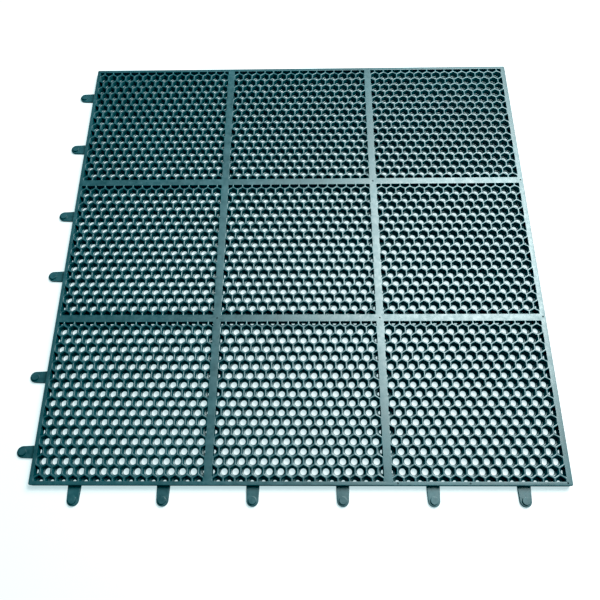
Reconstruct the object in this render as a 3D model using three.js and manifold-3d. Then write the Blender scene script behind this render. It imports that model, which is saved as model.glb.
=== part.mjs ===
// A rubber drainage mat, moulded in one piece: nine honeycomb panels, three by three, between
// flat ribs and inside a flat border, with thin snap tabs along the left and the front edge.
// Millimetres, +Z up, +X to the right, +Y to the back. The origin is on the
// underside, in the middle of the middle panel.
// The one moulding is given as solids that meet at narrow seams: one for each panel, with the ribs
// and border round it, and one for each tab.
import * as THREE from "three";
import { mergeVertices } from "three/addons/utils/BufferGeometryUtils.js";
import Module from "manifold-3d";

// Honeycomb: hexagons that point to the back and the front, measured from ridge line to ridge line
const cellPitch = 19.05;
const cellsPerRow = 15;
const rowStepsPerPanel = 17;
const drainDiameter = 11;
const closedFloor = 1;
const openEvery = 3;

// Ribs, border and the whole mat
const panelsAcross = 3;
const panelsDeep = 3;
const thickness = 13.5;
const ribWidth = 13.5;
const borderWidth = 6.5;
const rightBorderWidth = 9.25;
const cornerRadius = 3;
const seam = 0.3;

// Snap tabs
const frontTabsPerPanel = 2;
// The left tabs aren't spaced evenly: how far each is from the middle of its panel, back to front
const leftTabOffsets = [
  [79, -57],
  [75, -57],
  [39, -92],
];
const tabLength = 33;
const tabRootWidth = 22;
const tabEndWidth = 20;
const tabThickness = 4;
const buttonDiameter = 12.5;
const buttonHeight = 3;

// How finely round outlines are drawn
const endSteps = 8;
const cornerSteps = 3;
const buttonSides = 12;
const flatWithin = 1e-4;

// Sizes that follow
const rowPitch = (cellPitch * Math.sqrt(3)) / 2;
const openingWidth = cellPitch * cellsPerRow;
const openingDepth = rowPitch * rowStepsPerPanel;
const panelSpacingX = openingWidth + ribWidth;
const panelSpacingY = openingDepth + ribWidth;
const overlap = ribWidth / 8;

const rubber = new THREE.MeshStandardMaterial({
  color: 0x2a5d64,
  roughness: 0.55,
  metalness: 0,
});

const wasm = await Module();
wasm.setup();

// A closed geometry as a solid that can be joined and cut.
function solidOf(geometry) {
  const bare = geometry.index ? geometry.toNonIndexed() : geometry.clone();
  bare.deleteAttribute("normal");
  bare.deleteAttribute("uv");
  const merged = mergeVertices(bare);
  return new wasm.Manifold(
    new wasm.Mesh({
      numProp: 3,
      vertProperties: merged.attributes.position.array,
      triVerts: new Uint32Array(merged.index.array),
    }),
  );
}

// The same solid, its flat faces with only the corners that they need.
function tidy(solid) {
  return solid.asOriginal().simplify(flatWithin);
}

function geometryOf(solid) {
  const { vertProperties, triVerts } = solid.getMesh();
  const geometry = new THREE.BufferGeometry();
  geometry.setAttribute("position", new THREE.BufferAttribute(vertProperties, 3));
  geometry.setIndex(new THREE.BufferAttribute(triVerts, 1));
  geometry.computeVertexNormals();
  return geometry;
}

// The cells of one panel, row 0 at the back. Even rows are shifted by half a cell. The rows at the
// back and front, and the ends of the even rows, are centred on the edge of the opening, and each
// odd row has one more cell past either end, so that the honeycomb runs into the ribs all round.
// A place in the lattice is counted in half cells across and in sixths of a row deep, so corners
// that neighbours share come out as the same numbers.
function panelCells() {
  const cells = [];
  for (let row = 0; row <= rowStepsPerPanel; row++) {
    const shifted = row % 2 === 0;
    const reach = shifted ? cellsPerRow : cellsPerRow + 1;
    const depth = 3 * rowStepsPerPanel - 6 * row;
    for (let across = -reach; across <= reach; across += 2) cells.push({ row, across, depth });
  }
  return cells;
}

// The drains that are open in this solid: a coarser lattice of the same kind as the cells.
function isOpen({ row, across }) {
  const insideRow = row > 0 && row < rowStepsPerPanel;
  const insideEnds = Math.abs(across) < cellsPerRow;
  const inOpenRow = row % openEvery === 1 % openEvery;
  const steps = row % 2 === 0 ? across - openEvery : across;
  return insideRow && insideEnds && inOpenRow && steps % (2 * openEvery) === 0;
}

// The corners of a hexagon from its middle, counter-clockwise, in the lattice's own steps.
const hexagonCorners = [
  [1, -2],
  [1, 2],
  [0, 4],
  [-1, 2],
  [-1, -2],
  [0, -4],
];
const neighbourSteps = [
  [2, 0],
  [1, 6],
  [-1, 6],
  [-2, 0],
  [-1, -6],
  [1, -6],
];

const placeKey = (across, depth) => across + "," + depth;
const latticePoint = (across, depth, z) => [(across * cellPitch) / 2, (depth * rowPitch) / 6, z];

// The honeycomb of one panel as a closed sheet: sharp ridges at full height, and in each cell a
// funnel down to its drain, or to a thin floor where the drain is closed in this solid.
function honeycombSheet() {
  const cells = panelCells();
  const taken = new Set(cells.map((cell) => placeKey(cell.across, cell.depth)));
  const points = [];
  const face = (...corners) => {
    for (let i = 2; i < corners.length; i++) {
      points.push(...corners[0], ...corners[i - 1], ...corners[i]);
    }
  };
  const drainScale = drainDiameter / cellPitch;

  for (const cell of cells) {
    const { across, depth } = cell;
    const middle = latticePoint(across, depth, 0);
    const open = isOpen(cell);
    for (let side = 0; side < 6; side++) {
      const [startX, startY] = hexagonCorners[side];
      const [endX, endY] = hexagonCorners[(side + 1) % 6];
      const startLow = latticePoint(across + startX, depth + startY, 0);
      const endLow = latticePoint(across + endX, depth + endY, 0);
      const startHigh = [startLow[0], startLow[1], thickness];
      const endHigh = [endLow[0], endLow[1], thickness];
      if (open) {
        const startDrain = latticePoint(across + startX * drainScale, depth + startY * drainScale, 0);
        const endDrain = latticePoint(across + endX * drainScale, depth + endY * drainScale, 0);
        face(startHigh, endHigh, endDrain, startDrain);
        face(startDrain, endDrain, endLow, startLow);
      } else {
        face(startHigh, endHigh, [middle[0], middle[1], closedFloor]);
        face(endLow, startLow, middle);
      }
      const [stepX, stepY] = neighbourSteps[side];
      if (!taken.has(placeKey(across + stepX, depth + stepY))) {
        face(startLow, endLow, endHigh, startHigh);
      }
    }
  }
  const geometry = new THREE.BufferGeometry();
  geometry.setAttribute("position", new THREE.Float32BufferAttribute(points, 3));
  return geometry;
}

// A rectangle with its corners rounded where a radius is given for them.
function plateShape({ left, right, front, back }, radii) {
  const corners = [
    [left, front, Math.PI, radii.frontLeft],
    [right, front, 1.5 * Math.PI, radii.frontRight],
    [right, back, 0, radii.backRight],
    [left, back, 0.5 * Math.PI, radii.backLeft],
  ];
  const points = [];
  for (const [x, y, from, radius] of corners) {
    if (!radius) {
      points.push(new THREE.Vector2(x, y));
      continue;
    }
    const centreX = x === left ? x + radius : x - radius;
    const centreY = y === front ? y + radius : y - radius;
    for (let i = 0; i <= cornerSteps; i++) {
      const angle = from + (i / cornerSteps) * 0.5 * Math.PI;
      points.push(
        new THREE.Vector2(centreX + radius * Math.cos(angle), centreY + radius * Math.sin(angle)),
      );
    }
  }
  return new THREE.Shape(points);
}

// One snap tab with its round button. It points to the front, from the edge of the mat at y = 0.
function snapTab() {
  const endRadius = tabEndWidth / 2;
  const buttonY = endRadius - tabLength;
  const outline = new THREE.Shape();
  outline.moveTo(tabRootWidth / 2, -seam);
  outline.lineTo(-tabRootWidth / 2, -seam);
  outline.lineTo(-endRadius, buttonY);
  for (let i = 1; i <= endSteps; i++) {
    const angle = Math.PI + (i / endSteps) * Math.PI;
    outline.lineTo(endRadius * Math.cos(angle), buttonY + endRadius * Math.sin(angle));
  }
  const strap = new THREE.ExtrudeGeometry(outline, { depth: tabThickness, bevelEnabled: false });

  const buttonTop = tabThickness + buttonHeight;
  const radius = buttonDiameter / 2;
  const button = new THREE.CylinderGeometry(radius, radius, buttonTop - tabThickness / 2, buttonSides);
  button.rotateX(Math.PI / 2);
  button.translate(0, buttonY, (buttonTop + tabThickness / 2) / 2);
  return tidy(solidOf(strap).add(solidOf(button)));
}

function block(left, right, front, back, bottom, top) {
  const box = new THREE.BoxGeometry(right - left, back - front, top - bottom);
  box.translate((left + right) / 2, (front + back) / 2, (bottom + top) / 2);
  return solidOf(box);
}

const sheet = solidOf(honeycombSheet()).intersect(
  block(
    -openingWidth / 2 - overlap,
    openingWidth / 2 + overlap,
    -openingDepth / 2 - overlap,
    openingDepth / 2 + overlap,
    -thickness,
    2 * thickness,
  ),
);

// One panel with the ribs and border round it, in its own frame, its middle at x = y = 0.
function matSection(row, column) {
  const atLeft = column === 0;
  const atRight = column === panelsAcross - 1;
  const atBack = row === 0;
  const atFront = row === panelsDeep - 1;
  const ribHalf = (ribWidth - seam) / 2;
  const edges = {
    left: -openingWidth / 2 - (atLeft ? borderWidth : ribHalf),
    right: openingWidth / 2 + (atRight ? rightBorderWidth : ribHalf),
    front: -openingDepth / 2 - (atFront ? borderWidth : ribHalf),
    back: openingDepth / 2 + (atBack ? borderWidth : ribHalf),
  };
  const radii = {
    frontLeft: atFront && atLeft ? cornerRadius : 0,
    frontRight: atFront && atRight ? cornerRadius : 0,
    backRight: atBack && atRight ? cornerRadius : 0,
    backLeft: atBack && atLeft ? cornerRadius : 0,
  };
  const plate = plateShape(edges, radii);
  const window = new THREE.Path();
  window.moveTo(-openingWidth / 2, -openingDepth / 2);
  window.lineTo(-openingWidth / 2, openingDepth / 2);
  window.lineTo(openingWidth / 2, openingDepth / 2);
  window.lineTo(openingWidth / 2, -openingDepth / 2);
  plate.holes.push(window);
  const surround = new THREE.ExtrudeGeometry(plate, { depth: thickness, bevelEnabled: false });

  return tidy(solidOf(surround).add(sheet));
}

const rowNames = ["back", "middle", "front"];
const columnNames = ["left", "centre", "right"];
const nameOf = (names, index) => names[index] ?? "extra" + (index + 1);

const mat = new THREE.Group();
for (let row = 0; row < panelsDeep; row++) {
  for (let column = 0; column < panelsAcross; column++) {
    const section = new THREE.Mesh(geometryOf(matSection(row, column)), rubber);
    section.name = "mat_" + nameOf(rowNames, row) + "_" + nameOf(columnNames, column);
    section.position.set(
      (column - (panelsAcross - 1) / 2) * panelSpacingX,
      ((panelsDeep - 1) / 2 - row) * panelSpacingY,
      0,
    );
    mat.add(section);
  }
}

const bodyLeft = -((panelsAcross - 1) / 2) * panelSpacingX - openingWidth / 2 - borderWidth;
const bodyFront = -((panelsDeep - 1) / 2) * panelSpacingY - openingDepth / 2 - borderWidth;
const tabGeometry = geometryOf(snapTab());

function addTab(name, x, y, turn) {
  const tab = new THREE.Mesh(tabGeometry, rubber);
  tab.name = name;
  tab.rotation.z = turn;
  tab.position.set(x, y, 0);
  mat.add(tab);
}

let leftTabs = 0;
for (let row = 0; row < panelsDeep; row++) {
  const middle = ((panelsDeep - 1) / 2 - row) * panelSpacingY;
  for (const offset of leftTabOffsets[row % leftTabOffsets.length]) {
    leftTabs++;
    addTab("tab_left_" + leftTabs, bodyLeft, middle + offset, -Math.PI / 2);
  }
}
for (let i = 0; i < panelsAcross * frontTabsPerPanel; i++) {
  const share = (i + 0.5) / frontTabsPerPanel - panelsAcross / 2;
  addTab("tab_front_" + (i + 1), share * panelSpacingX, bodyFront, 0);
}

export default mat;
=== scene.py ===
"""A teal rubber drainage mat on a pale studio floor: nine moulded honeycomb panels between flat
ribs, inside a flat border with snap tabs along the left and the front edge."""

import math

import bmesh
import bpy
from mathutils import Matrix, Vector


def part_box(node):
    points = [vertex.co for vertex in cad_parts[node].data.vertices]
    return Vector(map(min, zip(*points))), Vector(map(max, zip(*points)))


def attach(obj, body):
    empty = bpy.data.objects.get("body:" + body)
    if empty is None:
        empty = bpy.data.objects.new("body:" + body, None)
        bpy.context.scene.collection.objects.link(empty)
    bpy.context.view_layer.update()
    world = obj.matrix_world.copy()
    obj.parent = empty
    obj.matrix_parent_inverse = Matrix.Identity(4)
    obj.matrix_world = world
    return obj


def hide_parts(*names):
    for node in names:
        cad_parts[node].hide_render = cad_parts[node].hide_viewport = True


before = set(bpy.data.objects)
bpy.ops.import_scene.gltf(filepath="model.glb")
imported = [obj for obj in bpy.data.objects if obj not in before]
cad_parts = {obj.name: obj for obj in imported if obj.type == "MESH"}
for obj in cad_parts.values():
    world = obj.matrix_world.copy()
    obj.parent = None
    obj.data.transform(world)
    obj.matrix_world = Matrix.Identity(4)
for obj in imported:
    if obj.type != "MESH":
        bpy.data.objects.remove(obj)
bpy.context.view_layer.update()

MM = 0.001

# The mat's own sizes in millimetres
CELLS_PER_ROW = 15
ROW_STEPS = 17
PANELS = 3
RIB_WIDTH = 13.5
BORDER_WIDTH = 6.5
RIGHT_BORDER_WIDTH = 9.25
TAB_LENGTH = 33.0
TAB_ROOT_WIDTH = 22.0
TAB_END_WIDTH = 20.0
TAB_THICKNESS = 4.0
TAB_ROOT_DEPTH = 4.0
BUTTON_DIAMETER = 12.5
BUTTON_HEIGHT = 3.0

# Roundings of its corners and edges in millimetres
CORNER_RADIUS = 3.0
WINDOW_CORNER_RADIUS = 1.0
OUTER_EDGE_ROUNDING = 1.0
OUTER_FOOT_ROUNDING = 0.4
RIDGE_ROUNDING = 0.35
WINDOW_FOOT_ROUNDING = 0.2
TAB_EDGE_ROUNDING = 0.9
TAB_FOOT_ROUNDING = 0.3

# The frame's nodes, and the sizes that follow from their boxes
ROW_NAMES = ("back", "middle", "front")
COLUMN_NAMES = ("left", "centre", "right")
BODY_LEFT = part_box("mat_middle_left")[0][0] / MM
BODY_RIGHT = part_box("mat_middle_right")[1][0] / MM
BODY_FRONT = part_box("mat_front_centre")[0][1] / MM
BODY_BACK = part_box("mat_back_centre")[1][1] / MM
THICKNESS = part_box("mat_middle_centre")[1][2] / MM
OPENING_WIDTH = (
    BODY_RIGHT - BODY_LEFT - BORDER_WIDTH - RIGHT_BORDER_WIDTH - (PANELS - 1) * RIB_WIDTH
) / PANELS
OPENING_DEPTH = (BODY_BACK - BODY_FRONT - 2 * BORDER_WIDTH - (PANELS - 1) * RIB_WIDTH) / PANELS
CELL_PITCH = OPENING_WIDTH / CELLS_PER_ROW
ROW_PITCH = OPENING_DEPTH / ROW_STEPS
SPACING_X = OPENING_WIDTH + RIB_WIDTH
SPACING_Y = OPENING_DEPTH + RIB_WIDTH
SECTION_NODES = [f"mat_{row}_{column}" for row in ROW_NAMES for column in COLUMN_NAMES]
TAB_NODES = sorted(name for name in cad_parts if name.startswith("tab_"))

# How the mould shapes a cell, in millimetres: half widths across flats, hole radii and heights.
# Cells cut in half by a rib or the border have the smaller hole.
MOUTH_HALF = 8.05
WALL_FOOT_HALF = 7.55
WALL_FOOT_HEIGHT = 2.4
HOLE_RADIUS = 5.5
EDGE_HOLE_RADIUS = 3.3
HOLE_LIP = 0.3
FLOOR_TOP = 2.0
RING_POINTS = 24

# Small round pits left by the mould where ribs cross and along the border, in millimetres
PIT_PLACES = (
    (-149.5, -147), (149.5, -147), (149.5, 147), (446.5, 147), (446.5, -146), (165, -437.2),
    (284, -437.2), (443, -436.5),
)
PIT_DIAMETER = 3.2
PIT_DEPTH = 2.5


def linear(hex_colour):
    """An sRGB hex colour as linear RGBA."""
    channels = [int(hex_colour[i:i + 2], 16) / 255 for i in (1, 3, 5)]
    return [c / 12.92 if c <= 0.04045 else ((c + 0.055) / 1.055) ** 2.4 for c in channels] + [1.0]


def add_node(material, kind, inputs=None, **settings):
    """A shader node with its settings, and its inputs, by name or place, as values or as the
    sockets that feed them."""
    node = material.node_tree.nodes.new(kind)
    for name, value in settings.items():
        setattr(node, name, value)
    for key, value in (inputs or {}).items():
        if isinstance(value, bpy.types.NodeSocket):
            material.node_tree.links.new(value, node.inputs[key])
        else:
            node.inputs[key].default_value = value
    return node


def new_material(name):
    """An empty material with its output node."""
    material = bpy.data.materials.new(name)
    material.use_nodes = True
    material.node_tree.nodes.clear()
    return material, material.node_tree.nodes.new("ShaderNodeOutputMaterial")


def moulded_rubber():
    """Teal SBR rubber from a steel mould: a satin skin, cloudy where filler and bloom reach the
    surface, with the fine grain of the blasted mould, drawn coarser than its real 0.1 mm. The
    sides of the pockets come duller from the mould than the top, and the sheen is faintly teal."""
    material, output = new_material("moulded_rubber")
    place = add_node(material, "ShaderNodeTexCoord").outputs["Object"]
    cloud = add_node(material, "ShaderNodeTexNoise", {
        "Vector": place, "Scale": 1 / (70 * MM), "Detail": 4.0, "Roughness": 0.6,
    })
    mottle = add_node(material, "ShaderNodeTexNoise", {
        "Vector": place, "Scale": 1 / (9 * MM), "Detail": 5.0, "Roughness": 0.65,
    })
    blend = add_node(material, "ShaderNodeMix", {
        "Factor": 0.5, "A": cloud.outputs["Fac"], "B": mottle.outputs["Fac"],
    }, data_type="FLOAT")
    tint = add_node(material, "ShaderNodeValToRGB", {"Fac": blend.outputs["Result"]})
    tint.color_ramp.elements[0].position = 0.35
    tint.color_ramp.elements[0].color = linear("#08282d")
    tint.color_ramp.elements[1].position = 0.65
    tint.color_ramp.elements[1].color = linear("#11393f")
    satin = add_node(material, "ShaderNodeMapRange", {
        "Value": mottle.outputs["Fac"], "From Min": 0.3, "From Max": 0.7,
        "To Min": 0.34, "To Max": 0.50,
    })
    grain = add_node(material, "ShaderNodeTexNoise", {
        "Vector": place, "Scale": 1 / (1.1 * MM), "Detail": 3.0, "Roughness": 0.6,
    })
    skin = add_node(material, "ShaderNodeBump", {
        "Height": grain.outputs["Fac"], "Strength": 0.25, "Distance": 0.15 * MM,
    })
    facing = add_node(material, "ShaderNodeSeparateXYZ", {
        "Vector": add_node(material, "ShaderNodeNewGeometry").outputs["Normal"],
    })
    steep = add_node(material, "ShaderNodeMapRange", {
        "Value": facing.outputs["Z"], "From Min": 0.2, "From Max": 0.9,
        "To Min": 0.35, "To Max": 0.0,
    })
    rough = add_node(material, "ShaderNodeMath", {
        0: satin.outputs["Result"], 1: steep.outputs["Result"],
    }, operation="ADD")
    shine = add_node(material, "ShaderNodeMapRange", {
        "Value": facing.outputs["Z"], "From Min": 0.2, "From Max": 0.9,
        "To Min": 0.15, "To Max": 0.5,
    })
    surface = add_node(material, "ShaderNodeBsdfPrincipled", {
        "Base Color": tint.outputs["Color"], "Roughness": rough.outputs["Value"],
        "Specular IOR Level": shine.outputs["Result"], "Specular Tint": (0.84, 1.0, 1.0, 1.0),
        "Normal": skin.outputs["Normal"], "IOR": 1.52,
    })
    material.node_tree.links.new(surface.outputs["BSDF"], output.inputs["Surface"])
    return material


def studio_paper():
    """White seamless paper, matt, a little bright of itself as an overlit backdrop is."""
    material, output = new_material("studio_paper")
    surface = add_node(material, "ShaderNodeBsdfPrincipled", {
        "Base Color": linear("#868686"), "Roughness": 0.9, "Specular IOR Level": 0.0,
        "Emission Color": linear("#bad2d6"), "Emission Strength": 1.0,
    })
    material.node_tree.links.new(surface.outputs["BSDF"], output.inputs["Surface"])
    return material


def finish_piece(name, mesh, material, nodes, sharp_degrees):
    """Puts a mesh into the scene as a piece of the mat that stands for the given CAD nodes."""
    for polygon in mesh.polygons:
        polygon.use_smooth = True
    mesh.set_sharp_from_angle(angle=math.radians(sharp_degrees))
    mesh.materials.clear()
    mesh.materials.append(material)
    piece = bpy.data.objects.new(name, mesh)
    bpy.context.scene.collection.objects.link(piece)
    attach(piece, "root")
    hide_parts(*nodes)
    return piece


def round_points(middle_x, middle_y, radius, steps):
    """Points round a circle, counter-clockwise."""
    angles = [2 * math.pi * i / steps for i in range(steps)]
    return [(middle_x + radius * math.cos(a), middle_y + radius * math.sin(a)) for a in angles]


def add_loop(bm, points, height):
    """Vertices at points in millimetres, all at one height."""
    return [bm.verts.new((x * MM, y * MM, height * MM)) for x, y in points]


def bridge(bm, first, second):
    """Faces from one loop of vertices to another of as many."""
    for i in range(len(first)):
        j = (i + 1) % len(first)
        bm.faces.new((first[i], first[j], second[j], second[i]))


def loop_edges(bm, loop):
    """The edges round a loop of vertices."""
    return [bm.edges.get((loop[i], loop[(i + 1) % len(loop)])) for i in range(len(loop))]


def hexagon_reach(angle, half):
    """How far a hexagon with flat sides to left and right reaches at an angle."""
    from_flat = (angle + math.pi / 6) % (math.pi / 3) - math.pi / 6
    return half / math.cos(from_flat)


def cell_rings(hole_radius):
    """One cell from its ridge line down to the underside, as rings of points. The corners of the
    pocket round off on the way down to the round hole."""
    angles = [2 * math.pi * i / RING_POINTS for i in range(RING_POINTS)]

    def ring(half, roundness, height):
        reach = [
            (1 - roundness) * hexagon_reach(angle, half) + roundness * half * 1.03
            for angle in angles
        ]
        points = [(r * math.cos(a), r * math.sin(a)) for r, a in zip(reach, angles)]
        return [(x * MM, y * MM, height * MM) for x, y in points]

    def circle(radius, height):
        return [
            (radius * math.cos(a) * MM, radius * math.sin(a) * MM, height * MM) for a in angles
        ]

    return [
        ring(CELL_PITCH / 2, 0.0, THICKNESS),
        ring(MOUTH_HALF + RIDGE_ROUNDING, 0.02, THICKNESS),
        ring(MOUTH_HALF, 0.04, THICKNESS - RIDGE_ROUNDING),
        ring(WALL_FOOT_HALF, 0.25, WALL_FOOT_HEIGHT),
        circle(hole_radius + HOLE_LIP, FLOOR_TOP),
        circle(hole_radius, FLOOR_TOP - HOLE_LIP),
        circle(hole_radius, 0.0),
        ring(CELL_PITCH / 2, 0.0, 0.0),
    ]


def cell_middles():
    """The middles of one panel's cells, and whether a rib cuts them in half. Row 0 is at the back;
    even rows are shifted half a cell, and the odd rows have a cell more at either end, to be cut
    off by the ribs."""
    for row in range(ROW_STEPS + 1):
        reach = CELLS_PER_ROW if row % 2 == 0 else CELLS_PER_ROW + 1
        y = (ROW_STEPS / 2 - row) * ROW_PITCH * MM
        for across in range(-reach, reach + 1, 2):
            halved = row in (0, ROW_STEPS) or abs(across) == CELLS_PER_ROW
            yield across * CELL_PITCH / 2 * MM, y, halved


def honeycomb_mesh():
    """One panel's honeycomb, cut straight where it runs into the rounded edges of its ribs."""
    bm = bmesh.new()
    whole_cell, halved_cell = cell_rings(HOLE_RADIUS), cell_rings(EDGE_HOLE_RADIUS)
    for middle_x, middle_y, halved in cell_middles():
        rings = halved_cell if halved else whole_cell
        loops = [
            [bm.verts.new((middle_x + x, middle_y + y, z)) for x, y, z in ring] for ring in rings
        ]
        for upper, lower in zip(loops, loops[1:]):
            bridge(bm, upper, lower)
    bmesh.ops.remove_doubles(bm, verts=bm.verts, dist=0.002 * MM)

    reach_x = (OPENING_WIDTH / 2 + RIDGE_ROUNDING) * MM
    reach_y = (OPENING_DEPTH / 2 + RIDGE_ROUNDING) * MM
    for x, y in ((1, 0), (-1, 0), (0, 1), (0, -1)):
        cut = bmesh.ops.bisect_plane(
            bm, geom=bm.verts[:] + bm.edges[:] + bm.faces[:], dist=1e-7,
            plane_co=(x * reach_x, y * reach_y, 0), plane_no=(x, y, 0), clear_outer=True,
        )
        edges = [g for g in cut["geom_cut"] if isinstance(g, bmesh.types.BMEdge)]
        bmesh.ops.triangle_fill(bm, edges=edges, use_beauty=False, normal=(x, y, 0))
    bmesh.ops.recalc_face_normals(bm, faces=bm.faces)
    mesh = bpy.data.meshes.new("honeycomb")
    bm.to_mesh(mesh)
    bm.free()
    return mesh


def make_panels(material):
    """The nine panels, each in place of its own section of the mat."""
    pattern = honeycomb_mesh()
    for row, row_name in enumerate(ROW_NAMES):
        for column, column_name in enumerate(COLUMN_NAMES):
            mesh = pattern.copy()
            place = ((column - 1) * SPACING_X * MM, (1 - row) * SPACING_Y * MM, 0)
            mesh.transform(Matrix.Translation(place))
            name = f"{row_name}_{column_name}"
            finish_piece(f"honeycomb_{name}", mesh, material, [f"mat_{name}"], sharp_degrees=50)
    bpy.data.meshes.remove(pattern)


def plate_loop(left, right, front, back, radius, steps):
    """A rectangle with rounded corners, counter-clockwise."""
    points = []
    corners = (
        (right - radius, front + radius, -0.5), (right - radius, back - radius, 0.0),
        (left + radius, back - radius, 0.5), (left + radius, front + radius, 1.0),
    )
    for x, y, turn in corners:
        for i in range(steps + 1):
            angle = (turn + 0.5 * i / steps) * math.pi
            points.append((x + radius * math.cos(angle), y + radius * math.sin(angle)))
    return points


def edge_profile(height, top_radius, foot_radius, steps):
    """How a rounded edge runs from the underside to the top: distances into the plate and heights."""
    profile = []
    arcs = ((foot_radius, foot_radius, -0.5), (top_radius, height - top_radius, 0.0))
    for radius, centre, start in arcs:
        for i in range(steps + 1):
            angle = (start + 0.5 * i / steps) * math.pi
            profile.append((radius - radius * math.cos(angle), centre + radius * math.sin(angle)))
    return profile


def add_wall(bm, loop_at, profile):
    """Skins an edge along a loop, and gives the edges of its lowest and of its highest ring."""
    rings = [add_loop(bm, loop_at(inset), height) for inset, height in profile]
    for lower, upper in zip(rings, rings[1:]):
        bridge(bm, lower, upper)
    return loop_edges(bm, rings[0]), loop_edges(bm, rings[-1])


def close_bmesh(bm, name):
    """Makes a mesh of a closed bmesh, faces out."""
    bmesh.ops.recalc_face_normals(bm, faces=bm.faces)
    mesh = bpy.data.meshes.new(name)
    bm.to_mesh(mesh)
    bm.free()
    return mesh


def add_pit(bm, middle_x, middle_y):
    """A round pit down from the top face, and its rim's edges."""
    steps = 12
    radius = PIT_DIAMETER / 2
    narrower = 0.2
    rim = add_loop(bm, round_points(middle_x, middle_y, radius, steps), THICKNESS)
    foot_points = round_points(middle_x, middle_y, radius - narrower, steps)
    foot = add_loop(bm, foot_points, THICKNESS - PIT_DEPTH)
    bridge(bm, rim, foot)
    bm.faces.new(foot)
    return loop_edges(bm, rim)


def border_and_ribs_mesh():
    """The flat border and ribs as one plate with nine windows, its outer edge rounder than the
    edges of the windows."""
    bm = bmesh.new()
    outer = edge_profile(THICKNESS, OUTER_EDGE_ROUNDING, OUTER_FOOT_ROUNDING, 3)
    inner = edge_profile(THICKNESS, RIDGE_ROUNDING, WINDOW_FOOT_ROUNDING, 2)

    def outer_loop(inset):
        return plate_loop(
            BODY_LEFT + inset, BODY_RIGHT - inset, BODY_FRONT + inset, BODY_BACK - inset,
            CORNER_RADIUS - inset, 5,
        )

    low, high = add_wall(bm, outer_loop, outer)
    for row in range(PANELS):
        for column in range(PANELS):
            middle_x = (column - 1) * SPACING_X
            middle_y = (1 - row) * SPACING_Y

            def window_loop(inset):
                half_width = OPENING_WIDTH / 2 + inset
                half_depth = OPENING_DEPTH / 2 + inset
                return plate_loop(
                    middle_x - half_width, middle_x + half_width,
                    middle_y - half_depth, middle_y + half_depth, WINDOW_CORNER_RADIUS + inset, 3,
                )

            window_low, window_high = add_wall(bm, window_loop, inner)
            low += window_low
            high += window_high
    for place in PIT_PLACES:
        high += add_pit(bm, *place)
    bmesh.ops.triangle_fill(bm, edges=low, use_beauty=True, normal=(0, 0, -1))
    bmesh.ops.triangle_fill(bm, edges=high, use_beauty=True, normal=(0, 0, 1))
    return close_bmesh(bm, "border_and_ribs")


def tab_mesh():
    """One snap tab pointing to the front from y = 0, its root inside the border: a thin strap
    with a round end and a low flat button."""
    bm = bmesh.new()
    end_radius = TAB_END_WIDTH / 2
    button_y = end_radius - TAB_LENGTH

    def outline(inset):
        half_root = TAB_ROOT_WIDTH / 2 - inset
        points = [(half_root, TAB_ROOT_DEPTH), (-half_root, TAB_ROOT_DEPTH), (-half_root, 0.0)]
        steps = 14
        for i in range(steps + 1):
            angle = math.pi * (1 + i / steps)
            radius = end_radius - inset
            points.append((radius * math.cos(angle), button_y + radius * math.sin(angle)))
        return points + [(half_root, 0.0)]

    edge = edge_profile(TAB_THICKNESS, TAB_EDGE_ROUNDING, TAB_FOOT_ROUNDING, 3)
    low, high = add_wall(bm, outline, edge)
    bmesh.ops.triangle_fill(bm, edges=low, use_beauty=True, normal=(0, 0, -1))

    button = (
        (0.4, 0.0), (0.12, 0.15), (0.0, 0.5), (0.0, BUTTON_HEIGHT - 0.5),
        (-0.15, BUTTON_HEIGHT - 0.15), (-0.5, BUTTON_HEIGHT),
    )
    rings = []
    for wider, rise in button:
        points = round_points(0, button_y, BUTTON_DIAMETER / 2 + wider, 32)
        rings.append(add_loop(bm, points, TAB_THICKNESS + rise))
    for lower, upper in zip(rings, rings[1:]):
        bridge(bm, lower, upper)
    bm.faces.new(rings[-1])
    foot = loop_edges(bm, rings[0])
    bmesh.ops.triangle_fill(bm, edges=high + foot, use_beauty=True, normal=(0, 0, 1))
    return close_bmesh(bm, "tab")


def joined(base, extra):
    """Two closed meshes made one with the exact boolean."""
    scene = bpy.context.scene
    whole = bpy.data.objects.new("whole", base)
    added = bpy.data.objects.new("added", extra)
    scene.collection.objects.link(whole)
    scene.collection.objects.link(added)
    union = whole.modifiers.new("union", "BOOLEAN")
    union.operation = "UNION"
    union.solver = "EXACT"
    union.object = added
    depsgraph = bpy.context.evaluated_depsgraph_get()
    mesh = bpy.data.meshes.new_from_object(whole.evaluated_get(depsgraph))
    bpy.data.objects.remove(whole)
    bpy.data.objects.remove(added)
    return mesh


def make_border(material):
    """The border and ribs with their twelve tabs, one piece of the same moulding."""
    bm = bmesh.new()
    tab = tab_mesh()
    turned = Matrix.Rotation(math.radians(-90), 4, "Z")
    for node in TAB_NODES:
        low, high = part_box(node)
        middle = (Vector(low) + Vector(high)) / 2
        if node.startswith("tab_front"):
            place = Matrix.Translation((middle.x, BODY_FRONT * MM, 0))
        else:
            place = Matrix.Translation((BODY_LEFT * MM, middle.y, 0)) @ turned
        one = tab.copy()
        one.transform(place)
        bm.from_mesh(one)
        bpy.data.meshes.remove(one)
    tabs = bpy.data.meshes.new("tabs")
    bm.to_mesh(tabs)
    bm.free()
    mesh = joined(border_and_ribs_mesh(), tabs)
    nodes = SECTION_NODES + TAB_NODES
    piece = finish_piece("border_ribs_and_tabs", mesh, material, nodes, sharp_degrees=40)
    weighted = piece.modifiers.new("flat_faces_stay_flat", "WEIGHTED_NORMAL")
    weighted.keep_sharp = True


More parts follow.
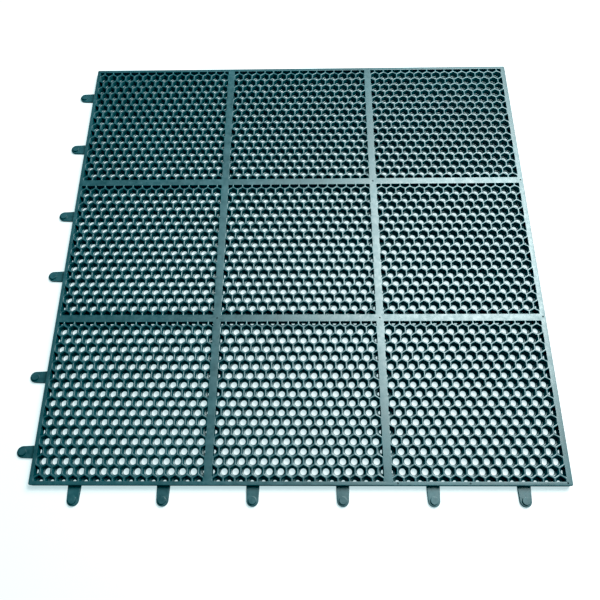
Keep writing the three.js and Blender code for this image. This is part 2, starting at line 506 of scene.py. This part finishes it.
def make_stage():
    """A plain pale floor, a little below the mat's underside."""
    mesh = bpy.data.meshes.new("floor")
    half, below = 12.0, -0.0003
    corners = [(-half, -half), (half, -half), (half, half), (-half, half)]
    mesh.from_pydata([(x, y, below) for x, y in corners], [], [(0, 1, 2, 3)])
    mesh.materials.append(studio_paper())
    floor = bpy.data.objects.new("floor", mesh)
    bpy.context.scene.collection.objects.link(floor)


def aim(location, target):
    """A placement at a point, looking at another."""
    turn = (Vector(target) - Vector(location)).to_track_quat("-Z", "Y")
    return Matrix.Translation(location) @ turn.to_matrix().to_4x4()


def make_lights():
    """One large softbox above the mat's right side, and weak even light all round."""
    data = bpy.data.lights.new("softbox", "AREA")
    data.shape = "SQUARE"
    data.size = 1.35
    data.energy = 200
    softbox = bpy.data.objects.new("softbox", data)
    softbox.matrix_world = aim((0.90, 0.80, 1.92), (0.25, -0.05, 0))
    bpy.context.scene.collection.objects.link(softbox)

    world = bpy.data.worlds.new("studio")
    world.use_nodes = True
    world.node_tree.nodes["Background"].inputs["Color"].default_value = linear("#f4f9fb")
    world.node_tree.nodes["Background"].inputs["Strength"].default_value = 0.25
    bpy.context.scene.world = world


def make_camera():
    """The photograph's view: the lens about a metre above the mat, in front of its middle. Angles
    are in radians and the place in metres."""
    image_width, sensor_width = 600, 36.0
    focal_pixels = 574.7
    tilt, roll, yaw = 1.1909, -0.0480, -0.0475
    location = (0.0219, -0.5075, 0.9926 + THICKNESS * MM)

    ahead = Vector((math.sin(yaw), math.cos(yaw), 0))
    forward = math.cos(tilt) * ahead - math.sin(tilt) * Vector((0, 0, 1))
    level = Vector((math.cos(yaw), -math.sin(yaw), 0))
    upward = level.cross(forward)
    right = math.cos(roll) * level + math.sin(roll) * upward
    up = math.cos(roll) * upward - math.sin(roll) * level

    data = bpy.data.cameras.new("camera")
    data.sensor_fit = "HORIZONTAL"
    data.sensor_width = sensor_width
    data.lens = sensor_width * focal_pixels / image_width
    data.clip_start = 0.01
    camera = bpy.data.objects.new("camera", data)
    turn = Matrix((right, up, -forward)).transposed().to_4x4()
    camera.matrix_world = Matrix.Translation(location) @ turn
    bpy.context.scene.collection.objects.link(camera)
    bpy.context.scene.camera = camera


def set_film():
    """Plain colours, with the blacks pulled down a little, most in red, as in the photograph."""
    view = bpy.context.scene.view_settings
    view.view_transform = "Standard"
    view.use_curve_mapping = True
    view.curve_mapping.black_level = (0.012, 0.004, 0.003)
    view.curve_mapping.update()


set_film()
make_camera()
make_stage()
make_lights()
rubber = moulded_rubber()
make_border(rubber)
make_panels(rubber)
